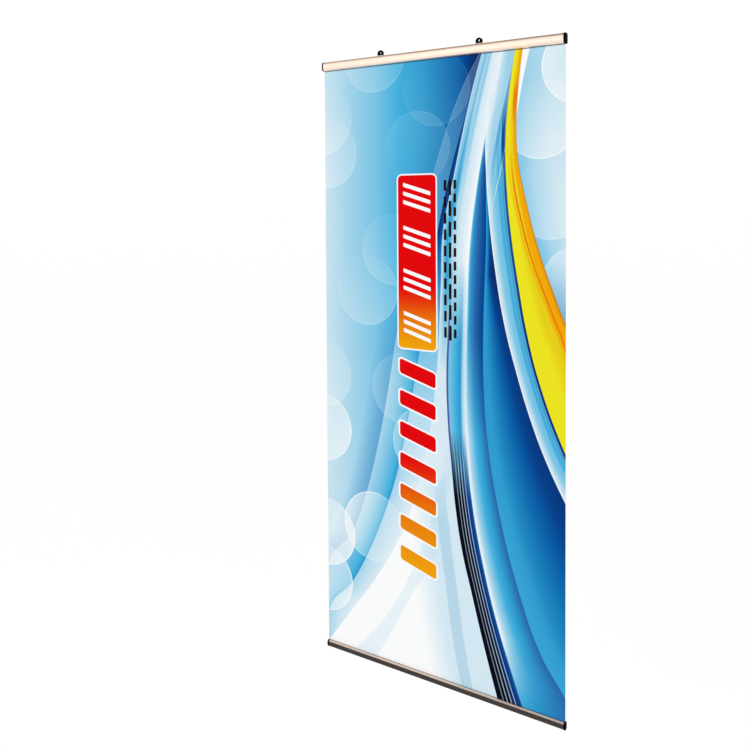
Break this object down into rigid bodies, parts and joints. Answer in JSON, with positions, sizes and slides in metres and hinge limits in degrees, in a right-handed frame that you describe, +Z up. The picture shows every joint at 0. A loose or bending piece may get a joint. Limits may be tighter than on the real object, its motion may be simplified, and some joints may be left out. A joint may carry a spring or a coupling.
{
  "type": "hanging banner",
  "caption": "Printed hanging banner clamped between two rounded hinged-jaw rails with end caps, hung on two sliding eyelet hangers.",
  "frame": {"origin": "on the line through both hanger eyelets, in the plane of the sheet and at the middle of the rails' length", "axes": "+Z up, the printed face looks along -Y, +X to the viewer's right when facing the print"},
  "size_m": [0.8552, 0.0249, 2.071],
  "materials": {
    "champagne_rail": "satin champagne anodised",
    "bronze_rail": "satin dark bronze anodised",
    "black_plastic": "fine-grained moulded black",
    "black_rubber": "matt extruded grip",
    "spring_steel": "rolled",
    "printed_film": "satin printed banner film"
  },
  "bodies": {
    "banner": {"top_back_rail": "champagne_rail", "top_rear_grip": "black_rubber", "top_spring_left": "spring_steel", "top_spring_right": "spring_steel", "top_cap_left": "black_plastic", "top_cap_right": "black_plastic", "printed_sheet": "printed_film", "bottom_back_rail": "champagne_rail", "bottom_rear_grip": "black_rubber", "bottom_spring_left": "spring_steel", "bottom_spring_right": "spring_steel", "bottom_cap_left": "black_plastic", "bottom_cap_right": "black_plastic"},
    "top_jaw": {"top_front_jaw": "champagne_rail", "top_front_grip": "black_rubber"},
    "bottom_jaw": {"bottom_front_jaw": "bronze_rail", "bottom_front_grip": "black_rubber"},
    "left_hanger": {"hanger_left": "black_plastic"},
    "right_hanger": {"hanger_right": "black_plastic"}
  },
  "joints": [
    {"name": "top_jaw_hinge", "type": "hinge", "parent": "banner", "child": "top_jaw", "pos_m": [0, -0.0097, -0.01458], "axis": [-1, 0, 0], "range_deg": [0, 65], "stiffness_Nm_per_rad": 0.5, "springref_deg": -28.65},
    {"name": "bottom_jaw_hinge", "type": "hinge", "parent": "banner", "child": "bottom_jaw", "pos_m": [0, -0.0062, -2.05833], "axis": [1, 0, 0], "range_deg": [0, 65], "stiffness_Nm_per_rad": 0.5, "springref_deg": -28.65},
    {"name": "left_hanger_slide", "type": "slide", "parent": "banner", "child": "left_hanger", "axis": [1, 0, 0], "range_m": [-0.195, 0.18]},
    {"name": "right_hanger_slide", "type": "slide", "parent": "banner", "child": "right_hanger", "axis": [1, 0, 0], "range_m": [-0.136, 0.239]}
  ]
}
